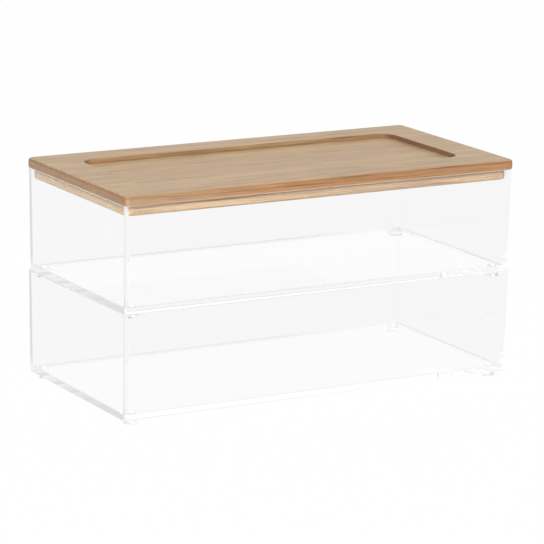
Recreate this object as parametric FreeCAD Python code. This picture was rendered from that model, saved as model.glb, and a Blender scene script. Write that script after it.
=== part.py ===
"""Two stacking trays of clear plastic under a rebated bamboo lid.

The trays are one moulding made twice. Each stands on four clear bumpers, and the upper
tray's bumpers drop inside the lower tray's rim, which keeps the stack in line. The lid is
one board: its rebated underside drops inside the upper tray's rim, and its top has a
shallow round-cornered recess.

Millimetres. The origin is on the ground under the middle of the stack, +X runs along the
long side, -Y is the front and +Z is up.
"""
import FreeCAD, Part
import os

# Tray moulding
RIM_LENGTH = 255.0
RIM_WIDTH = 124.0
TRAY_HEIGHT = 61.0
BASE_INSET = 0.8
WALL = 2.4
FLOOR = 3.1
OUTER_CORNER = 1.8
INNER_CORNER = 1.2
FLOOR_ROUND = 1.0
RIM_ROUND = 0.2
GATE_RADIUS = 1.6
GATE_HEIGHT = 0.3

# Bumpers under each tray
FOOT_RADIUS = 4.8
FOOT_HEIGHT = 3.2
FOOT_ROUND = 1.1
FOOT_INSET = 7.9

# Lid board
LID_OVERHANG = 0.6
FLANGE = 6.0
FLANGE_CORNER = 3.5
FLANGE_TOP_ROUND = 2.0
FLANGE_BOTTOM_ROUND = 1.3
PLUG_DEPTH = 6.0
PLUG_INSET = 3.1
PLUG_CORNER = 3.5
PLUG_ROUND = 1.2

# Recess in the lid's top
RECESS_DEPTH = 3.0
RECESS_END_MARGIN = 23.1
RECESS_SIDE_MARGIN = 21.3
RECESS_CORNER = 10.0

# Levels of the stack above the ground
LOWER_BASE = FOOT_HEIGHT
UPPER_BASE = LOWER_BASE + TRAY_HEIGHT
UPPER_RIM = UPPER_BASE + TRAY_HEIGHT

OVERCUT = 1.0
OUTPUT_FOLDER = "parts"


def rounded_rectangle(length, width, radius, level):
    """Closed wire of a centred rectangle with round corners, at a level."""
    half_x, half_y = length / 2, width / 2
    bevel = radius * (1 - 0.5 ** 0.5)
    corners = []
    for sign_x, sign_y in ((1, -1), (1, 1), (-1, 1), (-1, -1)):
        along_side = FreeCAD.Vector(sign_x * half_x, sign_y * (half_y - radius), level)
        along_end = FreeCAD.Vector(sign_x * (half_x - radius), sign_y * half_y, level)
        middle = FreeCAD.Vector(sign_x * (half_x - bevel), sign_y * (half_y - bevel), level)
        start, end = (along_end, along_side) if sign_x * sign_y < 0 else (along_side, along_end)
        corners.append((start, middle, end))
    outline = []
    for index, (start, middle, end) in enumerate(corners):
        next_start = corners[(index + 1) % len(corners)][0]
        outline.append(Part.Arc(start, middle, end).toShape())
        outline.append(Part.LineSegment(end, next_start).toShape())
    return Part.Wire(outline)


def plate(length, width, radius, bottom, thickness):
    """Flat board with round corners, upwards from its bottom."""
    face = Part.Face(rounded_rectangle(length, width, radius, bottom))
    return face.extrude(FreeCAD.Vector(0, 0, thickness))


def edges_at(shape, level):
    """All edges that lie flat at a level."""
    return [edge for edge in shape.Edges
            if all(abs(vertex.Z - level) < 1e-6 for vertex in edge.Vertexes)]


def moulding_outline(height, inset, radius):
    """The tray's drafted outline at a height above its base, moved inwards by an inset."""
    draft = BASE_INSET * (1 - height / TRAY_HEIGHT)
    shrink = 2 * (draft + inset)
    return rounded_rectangle(RIM_LENGTH - shrink, RIM_WIDTH - shrink, radius, height)


def make_tray():
    """One tray with its base at zero: drafted walls, a solid floor and the gate's stub."""
    outside = Part.makeLoft(
        [moulding_outline(height, 0, OUTER_CORNER) for height in (0, TRAY_HEIGHT)], True, True)
    inside = Part.makeLoft(
        [moulding_outline(height, WALL, INNER_CORNER) for height in (FLOOR, TRAY_HEIGHT + OVERCUT)],
        True, True)
    inside = inside.makeFillet(FLOOR_ROUND, edges_at(inside, FLOOR))
    tray = outside.cut(inside)
    tray = tray.makeFillet(RIM_ROUND, edges_at(tray, TRAY_HEIGHT))
    gate = Part.makeCylinder(GATE_RADIUS, GATE_HEIGHT, FreeCAD.Vector(0, 0, -GATE_HEIGHT))
    return tray.fuse(gate).removeSplitter()


def make_foot():
    """One bumper, from the ground up, with a rounded lower edge."""
    foot = Part.makeCylinder(FOOT_RADIUS, FOOT_HEIGHT)
    return foot.makeFillet(FOOT_ROUND, edges_at(foot, 0))


def make_lid():
    """The lid board with its flange on the upper rim and its plug below it."""
    length = RIM_LENGTH + 2 * LID_OVERHANG
    width = RIM_WIDTH + 2 * LID_OVERHANG
    top = UPPER_RIM + FLANGE
    flange = plate(length, width, FLANGE_CORNER, UPPER_RIM, FLANGE)
    flange = flange.makeFillet(FLANGE_TOP_ROUND, edges_at(flange, top))
    flange = flange.makeFillet(FLANGE_BOTTOM_ROUND, edges_at(flange, UPPER_RIM))
    plug_bottom = UPPER_RIM - PLUG_DEPTH
    plug = plate(RIM_LENGTH - 2 * PLUG_INSET, RIM_WIDTH - 2 * PLUG_INSET, PLUG_CORNER,
                 plug_bottom, PLUG_DEPTH + OVERCUT)
    plug = plug.makeFillet(PLUG_ROUND, edges_at(plug, plug_bottom))
    recess = plate(length - 2 * RECESS_END_MARGIN, width - 2 * RECESS_SIDE_MARGIN, RECESS_CORNER,
                   top - RECESS_DEPTH, RECESS_DEPTH + OVERCUT)
    return flange.fuse(plug).removeSplitter().cut(recess)


def foot_places():
    """The four corners by name, with the middle of the bumper in each."""
    reach_x = RIM_LENGTH / 2 - FOOT_INSET
    reach_y = RIM_WIDTH / 2 - FOOT_INSET
    places = {}
    for side_y, sign_y in (("front", -1), ("back", 1)):
        for side_x, sign_x in (("left", -1), ("right", 1)):
            places[side_y + "_" + side_x] = (sign_x * reach_x, sign_y * reach_y)
    return places


def moved(shape, x, y, z):
    """A copy of a shape, moved."""
    copy = shape.copy()
    copy.translate(FreeCAD.Vector(x, y, z))
    return copy


def make_pieces():
    """Every separate piece of the stack by name, in its place."""
    tray = make_tray()
    foot = make_foot()
    pieces = {"bamboo_lid": make_lid()}
    for tier, base in (("upper", UPPER_BASE), ("lower", LOWER_BASE)):
        pieces[tier + "_tray"] = moved(tray, 0, 0, base)
        for corner, (x, y) in foot_places().items():
            pieces[tier + "_foot_" + corner] = moved(foot, x, y, base - FOOT_HEIGHT)
    return pieces


def main():
    """Write each piece to a STEP file of its own."""
    os.makedirs(OUTPUT_FOLDER, exist_ok=True)
    for name, shape in make_pieces().items():
        shape.exportStep(os.path.join(OUTPUT_FOLDER, name + ".step"))
        print(name, "volume", round(shape.Volume, 1), "mm3, valid", shape.isValid())


main()
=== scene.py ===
"""Two clear stacking trays under a bamboo lid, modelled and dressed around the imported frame.

Metres, in the frame's own axes: +X runs along the long side, -Y is the front and +Z is up.
"""
import logging
import math
from dataclasses import dataclass
from enum import Enum
from typing import Callable, Mapping, Sequence, Union

import bmesh
import bpy
from mathutils import Matrix, Vector


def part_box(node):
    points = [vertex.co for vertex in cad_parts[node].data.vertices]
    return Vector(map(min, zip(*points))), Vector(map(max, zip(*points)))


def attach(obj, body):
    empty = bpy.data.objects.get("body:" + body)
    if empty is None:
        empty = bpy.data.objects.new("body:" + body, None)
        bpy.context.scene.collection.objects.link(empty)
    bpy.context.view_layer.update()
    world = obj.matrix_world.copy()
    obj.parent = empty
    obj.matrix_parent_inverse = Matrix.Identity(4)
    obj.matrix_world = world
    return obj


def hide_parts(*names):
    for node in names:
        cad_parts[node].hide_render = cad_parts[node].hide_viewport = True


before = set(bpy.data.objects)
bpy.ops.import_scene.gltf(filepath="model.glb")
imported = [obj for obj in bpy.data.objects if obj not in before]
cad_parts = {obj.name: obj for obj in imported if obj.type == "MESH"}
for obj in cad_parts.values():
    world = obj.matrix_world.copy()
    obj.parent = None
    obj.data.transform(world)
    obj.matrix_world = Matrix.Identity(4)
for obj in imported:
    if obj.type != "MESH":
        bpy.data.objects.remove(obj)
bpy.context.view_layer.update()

MM = 0.001
SAME_PLACE = 0.01 * MM          # two places nearer than this are one
SHARP_CREASE = math.radians(30)  # edges that turn more than this shade as creases
WELD_REACH = 0.001 * MM         # corners nearer than this become one
CONTACT_FILM = 0.03 * MM        # the film of air between two hard faces that only touch
STRAIGHT_ON = 1 - 1e-6          # the least cosine at which a face looks straight along a direction
ROUND_PROFILE = 0.5             # the bevel profile that is an arc of a circle
FLAT_FACES_LEAD = 100           # the weight at which large flat faces set the normals beside them

Colour = tuple[float, float, float]
Span = tuple[float, float]      # the two ends of a ramp or of a range, in order
FaceTest = Callable[[bmesh.types.BMFace], bool]
EdgeTest = Callable[[bmesh.types.BMEdge], bool]

log = logging.getLogger("vanity_box")


class Tier(Enum):
    """The two levels of the stack, by the name that their nodes and bodies start with."""

    LOWER = "lower"
    UPPER = "upper"

    @property
    def tray(self) -> str:
        """The tray's node, which is also its body."""
        return self.value + "_tray"


class Corner(Enum):
    """The four corners of a tray, by the name that their bumpers' nodes end with."""

    FRONT_LEFT = "front_left"
    FRONT_RIGHT = "front_right"
    BACK_LEFT = "back_left"
    BACK_RIGHT = "back_right"


class Slot(Enum):
    """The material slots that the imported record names."""

    BAMBOO = "bamboo"
    CLEAR_PLASTIC = "clear_plastic"
    CLEAR_BUMPER = "clear_bumper"


# ---------------------------------------------------------------- shader sheets


class Wire:
    """One output of a node, with arithmetic that adds Math nodes to its sheet."""

    def __init__(self, sheet: "NodeSheet", socket: bpy.types.NodeSocket) -> None:
        """Hold a socket together with the sheet that it lives on."""
        self.sheet = sheet
        self.socket = socket

    def _math(self, operation: str, *operands: "Feed") -> "Wire":
        """Add one Math node to the sheet, fed by the operands in order."""
        return self.sheet.node("ShaderNodeMath", {"operation": operation}, dict(enumerate(operands)))

    def __add__(self, other: "Feed") -> "Wire":
        """Sum."""
        return self._math("ADD", self, other)

    def __radd__(self, other: "Feed") -> "Wire":
        """Sum, number first."""
        return self._math("ADD", other, self)

    def __sub__(self, other: "Feed") -> "Wire":
        """Difference."""
        return self._math("SUBTRACT", self, other)

    def __rsub__(self, other: "Feed") -> "Wire":
        """Difference, number first."""
        return self._math("SUBTRACT", other, self)

    def __mul__(self, other: "Feed") -> "Wire":
        """Product."""
        return self._math("MULTIPLY", self, other)

    def __rmul__(self, other: "Feed") -> "Wire":
        """Product, number first."""
        return self._math("MULTIPLY", other, self)

    def __truediv__(self, other: "Feed") -> "Wire":
        """Quotient."""
        return self._math("DIVIDE", self, other)

    def __mod__(self, other: "Feed") -> "Wire":
        """Remainder that is never negative."""
        return self._math("FLOORED_MODULO", self, other)

    def __abs__(self) -> "Wire":
        """Size without sign."""
        return self._math("ABSOLUTE", self)

    def __gt__(self, other: "Feed") -> "Wire":
        """One where this is the larger, else zero."""
        return self._math("GREATER_THAN", self, other)

    def floor(self) -> "Wire":
        """The whole number below."""
        return self._math("FLOOR", self)

    def either(self, other: "Feed") -> "Wire":
        """The larger of the two."""
        return self._math("MAXIMUM", self, other)

    def between(self, start: "Feed", end: "Feed") -> "Wire":
        """The value from start to end that this share picks."""
        return start + self * (end - start)

    def ramp(self, low: float, high: float) -> "Wire":
        """A smooth step, which falls instead of rising if low is higher than high.

        Args:
            low: the value at which the step is still 0.
            high: the value at which it has reached 1.

        Returns:
            A wire from 0 to 1.
        """
        bottom, top, rising = min(low, high), max(low, high), low < high
        sockets = {"Value": self, "From Min": bottom, "From Max": top,
                   "To Min": 0.0 if rising else 1.0, "To Max": 1.0 if rising else 0.0}
        return self.sheet.node("ShaderNodeMapRange", {"interpolation_type": "SMOOTHSTEP"}, sockets)


Feed = Union[Wire, float, Sequence[float]]


class NodeSheet:
    """A node tree that is filled by one method."""

    MIX_FACTOR, MIX_COLOUR_A, MIX_COLOUR_B, MIX_COLOUR_OUT = 0, 6, 7, 2

    def __init__(self, tree: bpy.types.NodeTree) -> None:
        """Start from an empty tree."""
        self.tree = tree
        tree.nodes.clear()

    @classmethod
    def for_material(cls, name: str) -> tuple["NodeSheet", bpy.types.Material]:
        """Start a new material.

        Args:
            name: the material's name.

        Returns:
            The material's empty sheet, and the material.
        """
        material = bpy.data.materials.new(name)
        material.use_nodes = True
        return cls(material.node_tree), material

    def node(self, kind: str, settings: Mapping[str, object] | None = None,
             sockets: Mapping[str | int, Feed] | None = None, output: str | int = 0) -> Wire:
        """Add a node of any kind.

        Args:
            kind: the node's type name.
            settings: properties, which are set before the sockets.
            sockets: values or wires for its inputs, by name or by index.
            output: the output that the result stands for.

        Returns:
            A wire on that output.
        """
        made = self.tree.nodes.new(kind)
        for name, value in (settings or {}).items():
            setattr(made, name, value)
        for name, value in (sockets or {}).items():
            if isinstance(value, Wire):
                self.tree.links.new(value.socket, made.inputs[name])
            else:
                made.inputs[name].default_value = value
        return Wire(self, made.outputs[output])

    def blend(self, share: Feed, first: Union[Wire, Colour], second: Union[Wire, Colour]) -> Wire:
        """Mix two colours.

        Args:
            share: 0 for the first colour, 1 for the second.
            first: a colour or a wire with one.
            second: another.

        Returns:
            A wire with the colour.
        """
        colours = [c if isinstance(c, Wire) else (*c, 1.0) for c in (first, second)]
        sockets = {self.MIX_FACTOR: share, self.MIX_COLOUR_A: colours[0], self.MIX_COLOUR_B: colours[1]}
        return self.node("ShaderNodeMix", {"data_type": "RGBA"}, sockets, self.MIX_COLOUR_OUT)

    def shaded(self, colour: Wire, shade: Feed) -> Wire:
        """A colour multiplied by a number."""
        return self.node("ShaderNodeVectorMath", {"operation": "SCALE"}, {0: colour, "Scale": shade})

    def tinted(self, colour: Wire, tint: Colour) -> Wire:
        """A colour multiplied by another."""
        return self.node("ShaderNodeVectorMath", {"operation": "MULTIPLY"}, {0: colour, 1: tint})

    def place(self) -> Wire:
        """The point's place on its piece, in millimetres."""
        return self.shaded(self.node("ShaderNodeTexCoord", output="Object"), 1 / MM)

    def along(self, vector: Wire, axis: str) -> Wire:
        """A vector's part along one axis."""
        return self.node("ShaderNodeSeparateXYZ", None, {0: vector}, axis)

    def blend_shaders(self, share: Feed, first: Wire, second: Wire) -> Wire:
        """The mix of two shaders that a share picks."""
        return self.node("ShaderNodeMixShader", None, {0: share, 1: first, 2: second})

    def surface(self, shader: Wire) -> None:
        """Send a shader to the sheet's output.

        Args:
            shader: the finished surface, or the finished background of a world.
        """
        for_world = shader.socket.node.type == "BACKGROUND"
        target = self.tree.nodes.new("ShaderNodeOutputWorld" if for_world else "ShaderNodeOutputMaterial")
        self.tree.links.new(shader.socket, target.inputs["Surface"])

    def light_path(self, output: str) -> Wire:
        """One fact about the ray that arrives."""
        return self.node("ShaderNodeLightPath", output=output)

    def seen(self, room: Feed, mirrored: Feed, through: Feed, direct: Feed) -> Wire:
        """A level that depends on how a ray arrives.

        Args:
            room: for rays that only carry light between surfaces.
            mirrored: for reflections.
            through: for rays that come out of a clear piece.
            direct: for the camera's own rays.

        Returns:
            A wire with the level.
        """
        level = self.light_path("Is Glossy Ray").between(room, mirrored)
        level = self.light_path("Is Transmission Ray").between(level, through)
        return self.light_path("Is Camera Ray").between(level, direct)


# ---------------------------------------------------------------- finishes


@dataclass(frozen=True)
class Streaks:
    """Noise drawn out along the fibres.

    Length runs along X and width across the fibres, both in millimetres. Detail is how many
    octaves of finer streaks lie inside them, and fineness is how strong those are.
    """

    length: float
    width: float
    detail: float
    fineness: float = 0.6

    def on(self, sheet: NodeSheet, place: Wire) -> Wire:
        """Draw the streaks.

        Args:
            sheet: the material's sheet.
            place: a point in millimetres.

        Returns:
            A wire from 0 to 1.
        """
        scale = (1 / self.length, 1 / self.width, 1 / self.width)
        drawn = sheet.node("ShaderNodeMapping", None, {"Vector": place, "Scale": scale})
        return sheet.node("ShaderNodeTexNoise", None, {
            "Vector": drawn, "Scale": 1.0, "Detail": self.detail, "Roughness": self.fineness})


@dataclass(frozen=True)
class Spot:
    """Wires that tell where on the lid a point lies and how its face is turned.

    The place and its x, y and z are in millimetres. Rightwards and skywards are the face's
    direction along X and Z. Level, plug and recess are 1 on a level face, on the plug and
    inside the recess, and 0 elsewhere.
    """

    place: Wire
    x: Wire
    y: Wire
    z: Wire
    rightwards: Wire
    skywards: Wire
    level: Wire
    plug: Wire
    recess: Wire


@dataclass(frozen=True)
class BambooFinish:
    """Satin lacquer over bamboo strips that run along X, glued edge to edge.

    Places and streaks are in millimetres. A turn is the range of a face's direction along an
    axis over which something sets in, where 1 looks straight that way.
    """

    # the strips
    straw: Colour = (0.580, 0.410, 0.208)
    rose: Colour = (0.530, 0.335, 0.180)
    strip_width: float = 20.9
    strip_seed: float = 7.3
    strip_tone: float = 0.45
    broad: Streaks = Streaks(70.0, 5.0, 2.0)
    broad_tone: Span = (-0.5, 1.0)

    # the dark veins, with their share on upright and on level faces
    sap: Colour = (0.250, 0.110, 0.040)
    bundle: Streaks = Streaks(60.0, 0.75, 2.0)
    vein_edge: Span = (0.54, 0.68)
    vein_share: Span = (0.75, 0.50)

    # the cane's knuckles, each strip's one step further along than the last strip's
    knuckle: Colour = (0.300, 0.150, 0.062)
    first_knuckle: float = 23.0
    knuckle_step: float = 97.0
    knuckle_spacing: float = 274.0
    knuckle_edge: Span = (1.1, 0.2)
    knuckle_fibres: Span = (0.4, 0.62)
    knuckle_share: float = 0.45
    wobble: Streaks = Streaks(60.0, 1.6, 2.0)
    wobble_reach: float = 3.5

    # the grain, with its strength on the flange and on the plug
    fibre: Streaks = Streaks(34.0, 0.50, 3.0)
    fibre_tone: Span = (0.46, 1.56)
    band: Streaks = Streaks(120.0, 4.5, 4.0)
    fleck: Streaks = Streaks(22.0, 1.8, 2.0)
    streak_tone: Span = (0.70, 1.30)
    grain_share: Span = (1.0, 0.6)

    # the parts of the lid
    level_turn: Span = (0.56, 0.90)
    plug_edge: Span = (125.2, 124.8)
    recess_ends: Span = (115.0, 105.0)
    recess_sides: Span = (55.0, 45.0)

    # the long sides: a painted shade makes them darker and deeper in colour than the top; on the plug a
    # painted reflection of the clear wall and painted bounce light make them paler, and towards the left
    # they are paler too
    side_shade_tint: Colour = (0.73, 0.55, 0.41)
    plug_light_and_left_tint: Colour = (0.84, 0.86, 0.93)
    pale_left: Span = (-20.0, -120.0)
    pale_left_share: float = 0.6

    # the recess's wall, lighter towards the left
    recess_tint: Colour = (0.68, 0.60, 0.60)
    recess_left: Span = (-20.0, -110.0)
    recess_left_tone: Span = (1.0, 1.22)

    # the end grain, with its pores' share on the flange and on the plug
    end_turn: Span = (0.5, 0.9)
    end_tint: Colour = (0.59, 0.48, 0.40)
    # painted reflection and light: the plug's end, seen through the clear wall, is tinted paler
    plug_end_light_tint: Colour = (0.98, 0.96, 0.84)
    pore_scale: float = 0.75
    pore_detail: float = 2.0
    pore_edge: Span = (0.48, 0.66)
    pore_share: Span = (0.5, 0.2)

    # light and shade: painted shade on the flange's top arris, painted light on its underside and painted
    # shade towards its right end
    arris_above: Span = (0.93, 0.80)
    arris_below: Span = (0.05, 0.35)
    arris_shade: float = 0.13
    underside_turn: Span = (-0.15, -0.70)
    lit_underside: float = 0.45
    corner_turn: Span = (0.15, 0.75)
    corner_shade: float = 0.40
    dusky_reach: Span = (60.0, 130.0)
    dusky_end: float = 0.10

    # light and shade: the recess's wall that looks left, and the crease round its floor
    shaded_turn: Span = (-0.5, -0.9)
    recess_shade: float = 0.30
    crease_reach: Span = (129.8, 128.4)
    crease_turn: Span = (0.95, 0.60)
    crease_shade: float = 0.28

    # the lacquer
    roughness: Span = (0.5, 0.62)
    board_gloss: float = 0.15
    coat_roughness: float = 0.45
    coat_bending: float = 1.5
    grain_depth: float = 0.03 * MM
    relief: float = 0.5
    vein_relief: float = 0.8

    def locate(self, sheet: NodeSheet) -> Spot:
        """Read a point's place and turn, and which part of the lid it belongs to.

        Args:
            sheet: the material's sheet.

        Returns:
            The wires that tell it.
        """
        place = sheet.place()
        x, y, z = (sheet.along(place, axis) for axis in "XYZ")
        turned = sheet.node("ShaderNodeTexCoord", output="Normal")
        rightwards, skywards = (sheet.along(turned, axis) for axis in "XZ")
        recess = abs(x).ramp(*self.recess_ends) * abs(y).ramp(*self.recess_sides)
        return Spot(place, x, y, z, rightwards, skywards, abs(skywards).ramp(*self.level_turn),
                    z.ramp(*self.plug_edge), recess)

    def strips(self, sheet: NodeSheet, spot: Spot, fibre: Wire, veins: Wire) -> Wire:
        """Colour the strips, with their veins and knuckles.

        Args:
            sheet: the material's sheet.
            spot: where the point lies.
            fibre: the finest streaks, from 0 to 1.
            veins: the share of dark vein.

        Returns:
            A wire with the colour.
        """
        strip = (spot.y / self.strip_width).floor()
        own_tone = sheet.node("ShaderNodeTexWhiteNoise", {"noise_dimensions": "1D"},
                              {"W": strip + self.strip_seed})
        tone = self.broad.on(sheet, spot.place).between(*self.broad_tone) + own_tone * self.strip_tone
        colour = sheet.blend(tone.ramp(0.0, 1.0), self.straw, self.rose)
        colour = sheet.blend(veins, colour, self.sap)

        wobble = self.wobble.on(sheet, spot.place) * self.wobble_reach
        centre = self.first_knuckle + strip * self.knuckle_step
        half_way = self.knuckle_spacing / 2
        along = (spot.x - centre + wobble + half_way) % self.knuckle_spacing
        ring = abs(along - half_way).ramp(*self.knuckle_edge) * fibre.ramp(*self.knuckle_fibres)
        return sheet.blend(ring * self.knuckle_share, colour, self.knuckle)

    def by_face(self, sheet: NodeSheet, spot: Spot, colour: Wire) -> Wire:
        """Tint the long sides with a painted shade, paler on the plug with a painted reflection and light,
        and tint the recess's wall and the end grain.

        Args:
            sheet: the material's sheet.
            spot: where the point lies.
            colour: the strips' colour, which the level faces keep.

        Returns:
            A wire with the colour.
        """
        # painted reflection and light: on the plug the sides are tinted paler, as seen through the clear
        # wall
        pale = spot.plug.either(spot.x.ramp(*self.pale_left) * self.pale_left_share)
        # painted shade: the long sides are tinted darker than the top
        side = sheet.blend(pale, sheet.tinted(colour, self.side_shade_tint),
                           sheet.tinted(colour, self.plug_light_and_left_tint))
        recess_tone = spot.x.ramp(*self.recess_left).between(*self.recess_left_tone)
        recess = sheet.shaded(sheet.tinted(colour, self.recess_tint), recess_tone)
        side = sheet.blend(spot.recess, side, recess)

        # painted reflection and light: the plug's end grain is tinted paler, as seen through the clear
        # wall
        end = sheet.blend(spot.plug, sheet.tinted(colour, self.end_tint),
                          sheet.tinted(colour, self.plug_end_light_tint))
        pores = sheet.node("ShaderNodeTexNoise", None, {
            "Vector": spot.place, "Scale": self.pore_scale, "Detail": self.pore_detail})
        end = sheet.blend(pores.ramp(*self.pore_edge) * spot.plug.between(*self.pore_share), end, self.sap)

        colour = sheet.blend(spot.level, side, colour)
        return sheet.blend(abs(spot.rightwards).ramp(*self.end_turn), colour, end)

    def grain(self, sheet: NodeSheet, spot: Spot, fibre: Wire) -> Wire:
        """Work out how much the streaks lighten or darken the wood.

        Args:
            sheet: the material's sheet.
            spot: where the point lies.
            fibre: the finest streaks, from 0 to 1.

        Returns:
            A wire with a level around 1.
        """
        tone = fibre.between(*self.fibre_tone)
        for streaks in (self.band, self.fleck):
            tone = tone * streaks.on(sheet, spot.place).between(*self.streak_tone)
        return 1.0 + (tone - 1.0) * spot.plug.between(*self.grain_share)

    def shading(self, spot: Spot) -> Wire:
        """Work out the painted light and shade on each part of the lid, against its open top.

        Args:
            spot: where the point lies.

        Returns:
            A wire with a level, which is 1 on the open top.
        """
        flange = 1.0 - spot.plug
        # painted shade: the upward-turned rounding of the top arris is darkened
        arris = spot.skywards.ramp(*self.arris_above) * spot.skywards.ramp(*self.arris_below)
        # painted light: the flange's downward-turned rounding is lightened
        underside = spot.skywards.ramp(*self.underside_turn) * flange
        # painted shade: the faces that turn right, and the flange's sides towards its right end, are
        # darkened
        dusky = spot.x.ramp(*self.dusky_reach) * (1.0 - spot.level) * flange * self.dusky_end
        corner = (spot.rightwards.ramp(*self.corner_turn) * self.corner_shade).either(dusky)
        crease = spot.z.ramp(*self.crease_reach) * abs(spot.skywards).ramp(*self.crease_turn)
        shaded_wall = spot.rightwards.ramp(*self.shaded_turn) * self.recess_shade
        hollow = spot.recess * shaded_wall.either(crease * self.crease_shade)
        lit = (1.0 - arris * self.arris_shade) * (1.0 + underside * self.lit_underside)
        return lit * (1.0 - corner) * (1.0 - hollow)

    def make(self) -> bpy.types.Material:
        """Build the material.

        Returns:
            The material.
        """
        sheet, material = NodeSheet.for_material("lacquered_bamboo")
        spot = self.locate(sheet)
        fibre = self.fibre.on(sheet, spot.place)
        veins = self.bundle.on(sheet, spot.place).ramp(*self.vein_edge)
        veins = veins * abs(spot.skywards).between(*self.vein_share)
        colour = self.by_face(sheet, spot, self.strips(sheet, spot, fibre, veins))
        colour = sheet.shaded(colour, self.grain(sheet, spot, fibre) * self.shading(spot))
        height = fibre - veins * self.vein_relief
        bump = sheet.node("ShaderNodeBump", None, {
            "Strength": self.relief, "Distance": self.grain_depth, "Height": height})
        board = sheet.node("ShaderNodeBsdfPrincipled", None, {
            "Base Color": colour,
            "Roughness": fibre.between(*self.roughness),
            "Specular IOR Level": self.board_gloss,
            "Coat Weight": 1.0,
            "Coat Roughness": self.coat_roughness,
            "Coat IOR": self.coat_bending,
            "Normal": bump,
        })
        sheet.surface(board)
        return material


@dataclass(frozen=True)
class ClearFinish:
    """A clear plastic or rubber, which bends light and lets lamps shine through it.

    Light that zigzags inside a wall for longer than the renderer follows it would end black, so
    past that length the path ends in a painted glow: an emission that stands in for the light
    that a lit clear edge carries. The painted glow is brighter at the right end and towards the
    front. Places are in millimetres, and the longest paths stand half way between two whole
    numbers of bounces.
    """

    name: str
    tint: Colour
    roughness: float
    bending: float
    core_glow: float
    bright_glow: float = 0.92
    bright_right: Span = (60.0, 115.0)
    bright_front: Span = (50.0, -60.0)
    front_share: float = 0.8
    longest_zigzag: float = 11.5
    longest_path: float = 23.5

    def glow(self, sheet: NodeSheet) -> Wire:
        """Make the painted glow in which a long path ends.

        Args:
            sheet: the material's sheet.

        Returns:
            A wire with the shader.
        """
        x, y = (sheet.along(sheet.place(), axis) for axis in "XY")
        bright = x.ramp(*self.bright_right).either(y.ramp(*self.bright_front) * self.front_share)
        core, edge = (sheet.node("ShaderNodeEmission", None, {"Strength": strength})
                      for strength in (self.core_glow, self.bright_glow))
        return sheet.blend_shaders(bright, core, edge)

    def make(self) -> bpy.types.Material:
        """Build the material.

        Returns:
            The material.
        """
        sheet, material = NodeSheet.for_material(self.name)
        body = sheet.node("ShaderNodeBsdfPrincipled", None, {
            "Base Color": (*self.tint, 1.0),
            "Roughness": self.roughness,
            "Transmission Weight": 1.0,
            "IOR": self.bending,
        })
        zigzag = sheet.light_path("Glossy Depth") > self.longest_zigzag
        long_path = sheet.light_path("Ray Depth") > self.longest_path
        body = sheet.blend_shaders(zigzag.either(long_path), body, self.glow(sheet))
        open_way = sheet.node("ShaderNodeBsdfTransparent")
        sheet.surface(sheet.blend_shaders(sheet.light_path("Is Shadow Ray"), body, open_way))
        return material


@dataclass(frozen=True)
class SweepFinish:
    """The white floor, which shows as white and keeps only a faint shadow."""

    paper: Colour = (0.96, 0.96, 0.96)
    shadow_share: float = 0.02
    # painted shadow: the floor seen through a clear piece is a little below white, standing in for the
    # object's shadow behind and under it
    through: float = 0.92

    def make(self) -> bpy.types.Material:
        """Build the material.

        Returns:
            The material.
        """
        sheet, material = NodeSheet.for_material("white_sweep")
        paper = sheet.node("ShaderNodeBsdfDiffuse", None, {"Color": (*self.paper, 1.0)})
        level = sheet.seen(0.0, 1.0, self.through, 1.0)
        white = sheet.node("ShaderNodeEmission", None, {"Strength": level})
        share = sheet.seen(0.0, 1.0, 1.0, 1.0 - self.shadow_share)
        sheet.surface(sheet.blend_shaders(share, paper, white))
        return material


# ---------------------------------------------------------------- the bench


@dataclass(frozen=True)
class Round:
    """A rounded edge: its radius, and the steps that it is made in."""

    radius: float
    steps: int


def level_edge(level: float) -> EdgeTest:
    """Make a test for creased edges that lie flat.

    Args:
        level: the height at which they lie.

    Returns:
        The test.
    """
    def test(edge: bmesh.types.BMEdge) -> bool:
        """True for a crease at the level."""
        flat = all(abs(corner.co.z - level) < SAME_PLACE for corner in edge.verts)
        return flat and edge.calc_face_angle(0.0) > SHARP_CREASE
    return test


def upright_edge(edge: bmesh.types.BMEdge) -> bool:
    """True for an edge that climbs more than it runs."""
    run = edge.verts[1].co - edge.verts[0].co
    return abs(run.z) > run.xy.length


def facing(direction: Vector) -> FaceTest:
    """A test for faces that look along a direction."""
    return lambda face: face.normal.dot(direction) > STRAIGHT_ON


UP, DOWN = Vector((0, 0, 1)), Vector((0, 0, -1))


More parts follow.
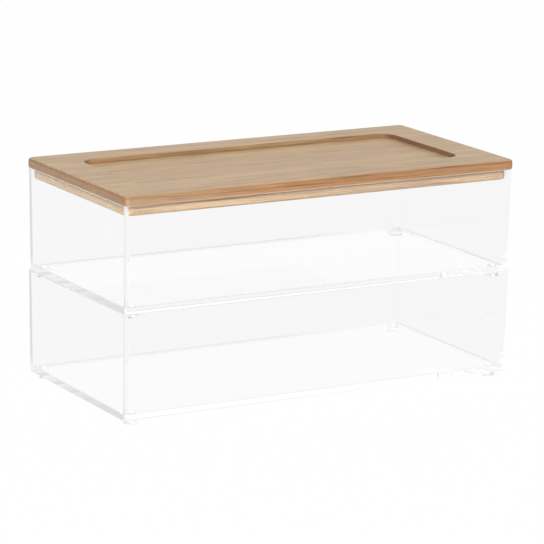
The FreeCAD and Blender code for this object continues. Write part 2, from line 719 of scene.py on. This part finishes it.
class Workpiece:
    """One mesh on the bench, shaped with the modelling operators.

    Faces and edges are picked by a test on their place or direction before each operator.
    """

    def __init__(self, name: str) -> None:
        """Take the primitive that was just added, and put its place into its mesh.

        Args:
            name: the piece's name, and its mesh's.
        """
        self.piece = bpy.context.object
        self.piece.name = name
        self.piece.data.name = name
        bpy.ops.object.transform_apply(location=True, rotation=True, scale=True)

    @staticmethod
    def clear_bench() -> None:
        """Leave whatever is being edited, and select nothing."""
        if bpy.context.object and bpy.context.object.mode == "EDIT":
            bpy.ops.object.mode_set(mode="OBJECT")
        bpy.ops.object.select_all(action="DESELECT")

    @classmethod
    def block(cls, name: str, low: Vector, high: Vector) -> "Workpiece":
        """Put a block on the bench.

        Args:
            name: the block's name.
            low: its lowest corner.
            high: its highest corner.

        Returns:
            The block.
        """
        cls.clear_bench()
        bpy.ops.mesh.primitive_cube_add(size=1, location=(low + high) / 2, scale=high - low)
        return cls(name)

    @classmethod
    def disc(cls, name: str, radius: float, foot: Vector, height: float, sides: int) -> "Workpiece":
        """Put a round disc on the bench.

        Args:
            name: the disc's name.
            radius: its radius.
            foot: the middle of its underside.
            height: how far it rises from there.
            sides: how many flats make its round.

        Returns:
            The disc.
        """
        cls.clear_bench()
        bpy.ops.mesh.primitive_cylinder_add(vertices=sides, radius=radius, depth=height,
                                            location=foot + UP * height / 2)
        return cls(name)

    def _pick(self, mode: str, elements: str, test: Callable[..., bool]) -> None:
        """Select, in edit mode, only the elements of one kind that pass a test.

        Args:
            mode: the selection mode that the elements need.
            elements: the mesh's list that holds them.
            test: tells whether an element is wanted.
        """
        if bpy.context.object != self.piece:
            self.clear_bench()
            bpy.context.view_layer.objects.active = self.piece
        bpy.ops.object.mode_set(mode="EDIT")
        bpy.ops.mesh.select_mode(type=mode)
        bpy.ops.mesh.select_all(action="DESELECT")
        mesh = bmesh.from_edit_mesh(self.piece.data)
        for element in getattr(mesh, elements):
            if test(element):
                element.select_set(True)
        mesh.select_flush_mode()
        bmesh.update_edit_mesh(self.piece.data)

    def faces(self, test: FaceTest) -> "Workpiece":
        """Select the faces that pass a test."""
        self._pick("FACE", "faces", test)
        return self

    def edges(self, test: EdgeTest) -> "Workpiece":
        """Select the edges that pass a test."""
        self._pick("EDGE", "edges", test)
        return self

    def resize(self, factor_x: float, factor_y: float) -> None:
        """Stretch the selection about the Z axis."""
        bpy.ops.transform.resize(value=(factor_x, factor_y, 1), center_override=(0, 0, 0))

    def bevel(self, rounding: Round) -> None:
        """Round the selected edges."""
        bpy.ops.mesh.bevel(offset_type="OFFSET", offset=rounding.radius, segments=rounding.steps,
                           profile=ROUND_PROFILE, affect="EDGES", clamp_overlap=False, loop_slide=False)

    def inset(self, width: float) -> None:
        """Draw a smaller copy of the selected face inside it."""
        bpy.ops.mesh.inset(thickness=width, depth=0, use_even_offset=True)

    def extrude(self, rise: float) -> None:
        """Pull the selected face up, or push it down if the rise is negative."""
        bpy.ops.mesh.extrude_region_move(TRANSFORM_OT_translate={"value": (0, 0, rise)})

    def combine(self, tool: "Workpiece", operation: str) -> None:
        """Cut a tool out of the piece, or fuse it on, and throw the tool away.

        Args:
            tool: the other piece.
            operation: DIFFERENCE to cut it out, or UNION to fuse it on.
        """
        self.clear_bench()
        bpy.context.view_layer.objects.active = self.piece
        boolean = self.piece.modifiers.new("combine", "BOOLEAN")
        boolean.operation = operation
        boolean.solver = "EXACT"
        boolean.object = tool.piece
        bpy.ops.object.modifier_apply(modifier=boolean.name)
        bpy.data.objects.remove(tool.piece)

    def finish(self, material: bpy.types.Material) -> bpy.types.Object:
        """Weld, smooth and dress the mesh.

        Args:
            material: the finish of the whole piece.

        Returns:
            The finished object, unselected, at the origin.
        """
        self.faces(lambda face: True)
        bpy.ops.mesh.remove_doubles(threshold=WELD_REACH)
        self.clear_bench()
        self.piece.select_set(True)
        bpy.ops.object.shade_smooth_by_angle(angle=SHARP_CREASE)
        weighted = self.piece.modifiers.new("flat_faces_stay_flat", "WEIGHTED_NORMAL")
        weighted.weight = FLAT_FACES_LEAD
        weighted.keep_sharp = True
        bpy.ops.object.modifier_apply(modifier=weighted.name)
        self.piece.data.materials.clear()
        self.piece.data.materials.append(material)
        self.piece.select_set(False)
        return self.piece


def repeat(original: bpy.types.Object, name: str, step: Vector) -> bpy.types.Object:
    """Copy a finished piece, with a mesh of its own.

    Args:
        original: the piece to copy.
        name: the copy's name.
        step: how far the copy stands from the original.

    Returns:
        The copy, at the origin with the step in its mesh.
    """
    copy = original.copy()
    copy.data = original.data.copy()
    copy.data.transform(Matrix.Translation(step))
    copy.name = name
    copy.data.name = name
    bpy.context.scene.collection.objects.link(copy)
    return copy


def hand_over(piece: bpy.types.Object, node: str, body: str) -> None:
    """Let a piece stand for its CAD node and ride on a body.

    Args:
        piece: the finished piece.
        node: the CAD node that it replaces.
        body: the moving body that carries it.
    """
    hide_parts(node)
    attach(piece, body)
    log.info("%s: %d faces, rides on %s", piece.name, len(piece.data.polygons), body)


# ---------------------------------------------------------------- the pieces


@dataclass
class TrayStack:
    """The two clear trays, one moulding made twice."""

    wall: float = 2.4 * MM
    floor: float = 3.1 * MM
    base_inset: float = 0.8 * MM
    outer_corner: Round = Round(1.8 * MM, 8)
    inner_corner: Round = Round(1.2 * MM, 6)
    floor_round: Round = Round(1.0 * MM, 6)
    rim_round: Round = Round(0.2 * MM, 4)
    base_round: Round = Round(0.25 * MM, 3)
    gate_radius: float = 1.6 * MM
    gate_height: float = 0.3 * MM
    gate_round: Round = Round(0.1 * MM, 2)
    gate_sides: int = 40
    overcut: float = 1.0 * MM

    def __post_init__(self) -> None:
        """Read the moulding's box and levels from the frame."""
        low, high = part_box(Tier.LOWER.tray)
        self.half = high.xy
        self.rim = high.z
        self.base = low.z + self.gate_height
        self.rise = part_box(Tier.UPPER.tray)[1].z - high.z

    def inset_at(self, level: float) -> float:
        """How far the drafted outside stands in from the rim at a level."""
        return self.base_inset * (self.rim - level) / (self.rim - self.base)

    def drafted_block(self, name: str, bottom: float, top: float, inset: float) -> Workpiece:
        """A block whose sides follow the draft.

        Args:
            name: what the block is.
            bottom: its lowest level.
            top: its highest level.
            inset: how far its sides stand inside the tray's outside.

        Returns:
            The block, with square corners.
        """
        wide = self.half - Vector((1, 1)) * (self.inset_at(top) + inset)
        narrow = self.half - Vector((1, 1)) * (self.inset_at(bottom) + inset)
        block = Workpiece.block(name, Vector((-wide.x, -wide.y, bottom)), Vector((wide.x, wide.y, top)))
        block.faces(facing(DOWN)).resize(narrow.x / wide.x, narrow.y / wide.y)
        return block

    def mould(self) -> Workpiece:
        """Mould one tray at the lower level.

        Returns:
            The tray, with its cavity, its rounded rim and the gate's stub.
        """
        underside = self.base + CONTACT_FILM
        tray = self.drafted_block("lower_clear_tray", underside, self.rim, 0)
        tray.edges(upright_edge).bevel(self.outer_corner)
        tray.edges(level_edge(underside)).bevel(self.base_round)
        cavity_floor = self.base + self.floor
        cavity = self.drafted_block("cavity", cavity_floor, self.rim + self.overcut, self.wall)
        cavity.edges(upright_edge).bevel(self.inner_corner)
        cavity.edges(level_edge(cavity_floor)).bevel(self.floor_round)
        tray.combine(cavity, "DIFFERENCE")
        tray.edges(level_edge(self.rim)).bevel(self.rim_round)
        foot = Vector((0, 0, self.base - self.gate_height + CONTACT_FILM))
        gate = Workpiece.disc("gate", self.gate_radius, foot, self.gate_height + self.overcut,
                              self.gate_sides)
        gate.edges(level_edge(foot.z)).bevel(self.gate_round)
        tray.combine(gate, "UNION")
        return tray

    def build(self, finish: bpy.types.Material) -> None:
        """Mould one tray, repeat it for the other level and hand both over.

        Args:
            finish: the trays' material.
        """
        lower = self.mould().finish(finish)
        upper = repeat(lower, "upper_clear_tray", UP * self.rise)
        for tray, tier in ((lower, Tier.LOWER), (upper, Tier.UPPER)):
            hand_over(tray, tier.tray, tier.tray)


@dataclass
class BumperSet:
    """The eight clear bumpers, one under each corner of each tray."""

    edge_round: Round = Round(1.1 * MM, 6)
    top_round: Round = Round(0.15 * MM, 2)
    dimple_rim: float = 1.1 * MM
    dimple_depth: float = 0.12 * MM
    dimple_round: Round = Round(0.06 * MM, 2)
    sides: int = 56

    def cast(self) -> Workpiece:
        """Cast the lower tray's front left bumper.

        Returns:
            The bumper, rounded below, with a shallow dimple underneath.
        """
        low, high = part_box("lower_foot_front_left")
        radius = (high.x - low.x) / 2
        middle = Vector(((low.x + high.x) / 2, (low.y + high.y) / 2, low.z))
        bumper = Workpiece.disc("lower_bumper_front_left", radius, middle, high.z - low.z, self.sides)
        bumper.edges(level_edge(low.z)).bevel(self.edge_round)
        bumper.edges(level_edge(high.z)).bevel(self.top_round)
        bumper.faces(facing(DOWN)).inset(self.dimple_rim)
        bumper.extrude(self.dimple_depth)
        bumper.edges(level_edge(low.z + self.dimple_depth)).bevel(self.dimple_round)
        return bumper

    def build(self, finish: bpy.types.Material) -> None:
        """Cast one bumper and repeat it in every place that the frame gives.

        Args:
            finish: the bumpers' material.
        """
        first = self.cast().finish(finish)
        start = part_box("lower_foot_front_left")[0]
        for tier in Tier:
            for corner in Corner:
                node = f"{tier.value}_foot_{corner.value}"
                name = f"{tier.value}_bumper_{corner.value}"
                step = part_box(node)[0] - start
                bumper = first if name == first.name else repeat(first, name, step)
                hand_over(bumper, node, tier.tray)


@dataclass
class BambooLid:
    """The lid board: a rounded flange on the rim, a plug below it and a recess on top."""

    flange: float = 6.0 * MM
    flange_corner: Round = Round(3.5 * MM, 12)
    flange_top_round: Round = Round(2.0 * MM, 10)
    flange_bottom_round: Round = Round(1.3 * MM, 8)
    plug_inset: float = 3.7 * MM
    plug_corner: Round = Round(3.5 * MM, 10)
    plug_round: Round = Round(1.2 * MM, 4)
    recess_depth: float = 3.0 * MM
    recess_end_margin: float = 23.1 * MM
    recess_side_margin: float = 21.3 * MM
    recess_corner: Round = Round(10.0 * MM, 24)
    recess_floor_round: Round = Round(0.35 * MM, 4)
    recess_arris: Round = Round(0.3 * MM, 4)
    overcut: float = 1.0 * MM

    def __post_init__(self) -> None:
        """Read the board's box from the frame."""
        self.low, self.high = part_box("bamboo_lid")

    def board(self, name: str, inset: Vector, bottom: float, top: float) -> Workpiece:
        """Put a block on the bench that stands in from the board's outline.

        Args:
            name: the block's name.
            inset: how far it stands in along X and Y.
            bottom: its lowest level.
            top: its highest level.

        Returns:
            The block.
        """
        reach = self.high.xy - inset
        return Workpiece.block(name, Vector((-reach.x, -reach.y, bottom)), Vector((reach.x, reach.y, top)))

    def shape(self) -> Workpiece:
        """Fuse the flange and the plug, then rout the recess out of the top.

        Returns:
            The lid.
        """
        underside, top = self.high.z - self.flange + CONTACT_FILM, self.high.z
        lid = self.board("lacquered_bamboo_lid", Vector((0, 0)), underside, top)
        lid.edges(upright_edge).bevel(self.flange_corner)
        lid.edges(level_edge(top)).bevel(self.flange_top_round)
        lid.edges(level_edge(underside)).bevel(self.flange_bottom_round)
        plug = self.board("plug", Vector((1, 1)) * self.plug_inset, self.low.z, underside + self.overcut)
        plug.edges(upright_edge).bevel(self.plug_corner)
        plug.edges(level_edge(self.low.z)).bevel(self.plug_round)
        lid.combine(plug, "UNION")
        recess_floor = top - self.recess_depth
        margins = Vector((self.recess_end_margin, self.recess_side_margin))
        router = self.board("router", margins, recess_floor, top + self.overcut)
        router.edges(upright_edge).bevel(self.recess_corner)
        router.edges(level_edge(recess_floor)).bevel(self.recess_floor_round)
        lid.combine(router, "DIFFERENCE")
        lid.edges(level_edge(top)).bevel(self.recess_arris)
        return lid

    def build(self, finish: bpy.types.Material) -> None:
        """Shape the lid and hand it over."""
        hand_over(self.shape().finish(finish), "bamboo_lid", "lid")


# ---------------------------------------------------------------- the studio


@dataclass(frozen=True)
class SoftPanel:
    """A large soft lamp that lights the object without being seen."""

    name: str
    place: tuple[float, float, float]
    side: float
    power: float

    def hang(self, aim: Vector) -> None:
        """Hang the lamp at its place.

        Args:
            aim: the point that it is turned to.
        """
        lamp = bpy.data.lights.new(self.name, "AREA")
        lamp.shape = "SQUARE"
        lamp.size = self.side
        lamp.energy = self.power
        holder = bpy.data.objects.new(self.name, lamp)
        holder.location = self.place
        holder.rotation_euler = (Vector(self.place) - aim).to_track_quat("Z", "Y").to_euler()
        holder.visible_camera = False
        holder.visible_glossy = False
        bpy.context.scene.collection.objects.link(holder)


@dataclass(frozen=True)
class Studio:
    """The white sweep, the soft light and the camera."""

    azimuth: float = math.radians(-29.98)
    elevation: float = math.radians(13.11)
    tilt: float = math.radians(1.072)
    distance: float = 1.83988
    aim: tuple[float, float, float] = (7.728 * MM, 10.827 * MM, 60.052 * MM)
    focal: float = 205.77
    film: float = 36.0
    sweep_side: float = 6.0
    sweep_drop: float = 0.05 * MM
    followed_bounces: int = 32
    room_light: float = 0.80
    mirrored_room: float = 0.9
    room_through: float = 1.3

    def place_camera(self) -> None:
        """Look at the aim from the azimuth and elevation, with the horizon tilted a little."""
        back = Vector((math.sin(self.azimuth) * math.cos(self.elevation),
                       -math.cos(self.azimuth) * math.cos(self.elevation),
                       math.sin(self.elevation)))
        level_right = (-back).cross(UP).normalized()
        level_up = level_right.cross(-back)
        right = math.cos(self.tilt) * level_right + math.sin(self.tilt) * level_up
        up = math.cos(self.tilt) * level_up - math.sin(self.tilt) * level_right
        camera = bpy.data.cameras.new("camera")
        camera.lens = self.focal
        camera.sensor_width = self.film
        holder = bpy.data.objects.new("camera", camera)
        bpy.context.scene.collection.objects.link(holder)
        turned = Matrix((right, up, back)).transposed().to_4x4()
        turned.translation = Vector(self.aim) + back * self.distance
        holder.matrix_world = turned
        bpy.context.scene.camera = holder

    def light_room(self) -> None:
        """Fill the room with even white light."""
        world = bpy.data.worlds.new("white_room")
        world.use_nodes = True
        bpy.context.scene.world = world
        sheet = NodeSheet(world.node_tree)
        level = sheet.seen(self.room_light, self.mirrored_room, self.room_through, 1.0)
        sheet.surface(sheet.node("ShaderNodeBackground", None, {"Strength": level}))

    def lay_sweep(self) -> None:
        """Lay the floor just under the bumpers."""
        bpy.ops.mesh.primitive_plane_add(size=self.sweep_side, location=(0, 0, -self.sweep_drop))
        floor = Workpiece("white_sweep").piece
        floor.data.materials.append(SweepFinish().make())

    def set_up(self, panels: Sequence[SoftPanel]) -> None:
        """Put up the whole studio and choose how far light is followed through clear walls.

        Args:
            panels: the lamps.
        """
        self.place_camera()
        self.light_room()
        self.lay_sweep()
        for panel in panels:
            panel.hang(Vector(self.aim))
        scene = bpy.context.scene
        scene.view_settings.view_transform = "Standard"
        scene.cycles.max_bounces = self.followed_bounces
        scene.cycles.glossy_bounces = self.followed_bounces
        scene.cycles.transmission_bounces = self.followed_bounces


def main() -> None:
    """Build and dress every piece, then the studio around them."""
    logging.basicConfig(level=logging.INFO, format="%(message)s")
    bpy.ops.object.select_all(action="DESELECT")
    bamboo = BambooFinish().make()
    plastic = ClearFinish("clear_plastic", tint=(0.999, 0.999, 0.999), roughness=0.0,
                          bending=1.49, core_glow=0.70).make()
    rubber = ClearFinish("clear_bumper", tint=(0.930, 0.930, 0.912), roughness=0.25,
                         bending=1.47, core_glow=0.60).make()
    BambooLid().build(bamboo)
    TrayStack().build(plastic)
    BumperSet().build(rubber)
    Studio().set_up([
        SoftPanel("key", place=(-1.6, -1.9, 1.25), side=0.8, power=45.0),
        SoftPanel("fill", place=(1.8, -1.0, 1.0), side=1.2, power=4.0),
    ])


if __name__ == "__main__":
    main()
